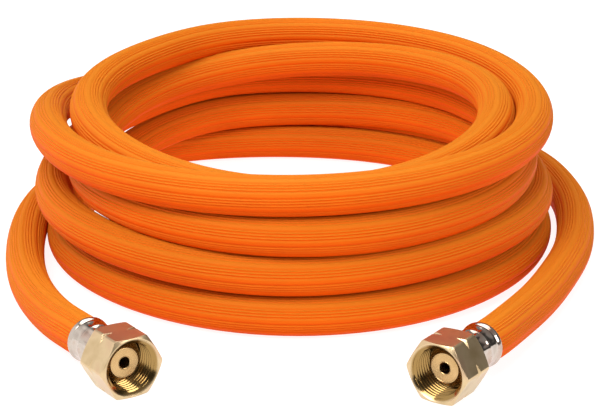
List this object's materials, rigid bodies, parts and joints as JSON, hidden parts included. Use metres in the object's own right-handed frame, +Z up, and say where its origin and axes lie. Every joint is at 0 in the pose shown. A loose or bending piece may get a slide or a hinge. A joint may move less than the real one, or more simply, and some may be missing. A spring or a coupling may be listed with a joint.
{
  "type": "propane regulator hose",
  "caption": "Coiled orange rubber gas hose with a nipple, crimped ferrule and loose left-hand hexagon union nut at each end, joining a propane regulator to an appliance.",
  "frame": {"origin": "middle of the bounding box at its bottom, on the surface that the coil, the hose ends and the nuts lie on", "axes": "+Z up; +Y from the open sides of the two nuts towards the back of the coil; +X to the right for someone who faces the nuts"},
  "size_m": [0.2102, 0.273, 0.0581],
  "materials": {
    "hose_cover": "orange rubber cover with fine lengthwise ribs",
    "hose_braid": "woven textile reinforcement",
    "hose_liner": "smooth black rubber",
    "ferrule_steel": "bright plated steel, crimped",
    "nipple_brass": "turned brass",
    "nut_brass": "machined hexagon, pale yellow passivated finish"
  },
  "bodies": {
    "hose": {"hose_coil": "hose_cover", "hose_tail_left": "hose_cover", "hose_tail_right": "hose_cover", "cover_left": "hose_cover", "braid_left": "hose_braid", "liner_left": "hose_liner", "ferrule_left": "ferrule_steel", "nipple_left": "nipple_brass", "cover_right": "hose_cover", "braid_right": "hose_braid", "liner_right": "hose_liner", "ferrule_right": "ferrule_steel", "nipple_right": "nipple_brass"},
    "left_union": {"nut_left": "nut_brass"},
    "right_union": {"nut_right": "nut_brass"}
  },
  "joints": [
    {"name": "left_nut_turn", "type": "hinge", "parent": "hose", "child": "left_union", "pos_m": [-0.05541, -0.12045, 0.0095], "axis": [0.5592, -0.829, 0], "continuous": true},
    {"name": "right_nut_turn", "type": "hinge", "parent": "hose", "child": "right_union", "pos_m": [0.04281, -0.12475, 0.0095], "axis": [-0.5592, -0.829, 0], "continuous": true}
  ]
}
